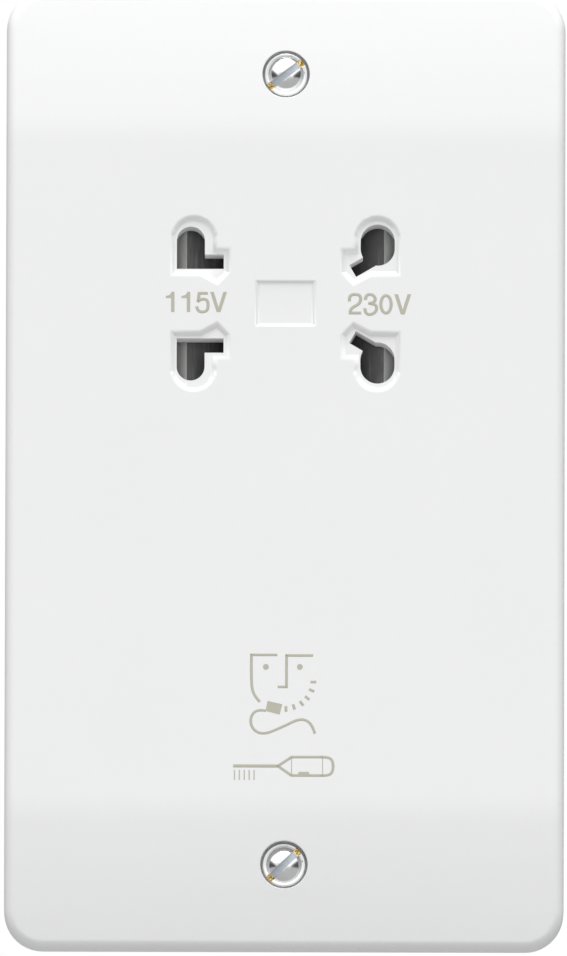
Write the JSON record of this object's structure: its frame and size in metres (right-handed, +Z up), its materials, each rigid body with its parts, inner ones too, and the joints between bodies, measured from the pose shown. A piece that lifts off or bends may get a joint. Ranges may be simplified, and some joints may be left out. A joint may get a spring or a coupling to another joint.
{
  "type": "shaver socket",
  "caption": "Flush wall shaver socket with a white curved-end plate, dual-voltage pin apertures over a dark sliding shutter, and an isolating transformer in a stepped rear housing.",
  "frame": {"origin": "middle of the two fixing screws, in the wall's plane", "axes": "+Z up along the plate's length, +Y into the wall, +X to the right seen from the room"},
  "size_m": [0.085, 0.0505, 0.146],
  "materials": {
    "white_urea": "smooth gloss",
    "fixing_steel": "bright plated",
    "shutter_plastic": "fine satin",
    "spring_steel": "drawn wire",
    "carrier_plastic": "satin",
    "contact_bronze": "rolled strip",
    "core_steel": "varnished laminations",
    "clamp_steel": "zinc plated",
    "bobbin_nylon": "satin",
    "tinned_tag": "tinned",
    "copper_winding": "varnished wire",
    "cutout_case": "satin",
    "brown_lead": "satin",
    "blue_lead": "satin",
    "black_lead": "satin",
    "yellow_lead": "satin",
    "red_lead": "satin",
    "housing_plastic": "fine satin",
    "zinc_steel": "zinc plated",
    "terminal_brass": "machined"
  },
  "bodies": {
    "socket": {"front_plate": "white_urea", "fixing_screws": "fixing_steel", "shutter_spring_left": "spring_steel", "shutter_spring_right": "spring_steel", "contact_carrier": "carrier_plastic", "common_contact": "contact_bronze", "contact_115v": "contact_bronze", "contact_230v": "contact_bronze", "switch_leaf": "contact_bronze", "switch_fixed_contact": "contact_bronze", "transformer_core": "core_steel", "core_clamp": "clamp_steel", "bobbin": "bobbin_nylon", "bobbin_tags": "tinned_tag", "primary_winding": "copper_winding", "secondary_winding": "copper_winding", "thermal_cutout": "cutout_case", "lead_live": "brown_lead", "lead_switch": "brown_lead", "lead_cutout": "brown_lead", "lead_neutral": "blue_lead", "lead_common": "black_lead", "lead_115v": "yellow_lead", "lead_230v": "red_lead", "rear_housing": "housing_plastic", "housing_screws": "zinc_steel", "terminal_live": "terminal_brass", "terminal_neutral": "terminal_brass", "terminal_earth": "terminal_brass", "terminal_screws": "zinc_steel"},
    "shutter": {"interlock_shutter": "shutter_plastic"}
  },
  "joints": [
    {"name": "shutter_slide", "type": "slide", "parent": "socket", "child": "shutter", "axis": [1, 0, 0], "range_m": [-0.0074, 0.0074], "stiffness_N_per_m": 200, "deforming": ["shutter_spring_left", "shutter_spring_right"]}
  ]
}
